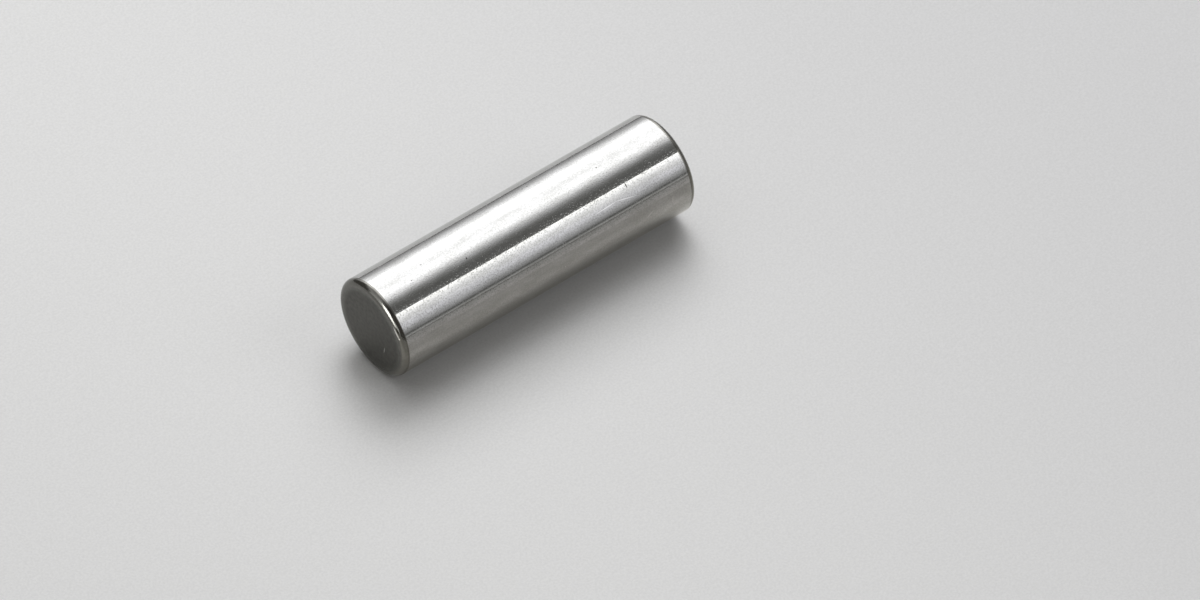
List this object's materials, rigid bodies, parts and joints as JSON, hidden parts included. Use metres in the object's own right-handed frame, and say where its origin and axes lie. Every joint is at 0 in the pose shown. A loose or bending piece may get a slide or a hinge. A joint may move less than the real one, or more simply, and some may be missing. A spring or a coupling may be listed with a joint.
{
  "type": "gudgeon pin",
  "caption": "Solid round hardened steel gudgeon pin with a ground shank, flat ends and rounded edges, joining a small piston to its connecting rod.",
  "frame": {"origin": "centre of the lower end face, on the pin's axis, with the pin standing on that end", "axes": "+Z along the pin's axis, from the lower end face to the upper one"},
  "size_m": [0.005, 0.005, 0.017],
  "materials": {
    "ground_steel": "shank ground and polished bright, end faces and rounded edges left dark grey from hardening"
  },
  "bodies": {
    "root": {"gudgeon_pin": "ground_steel"}
  },
  "joints": []
}
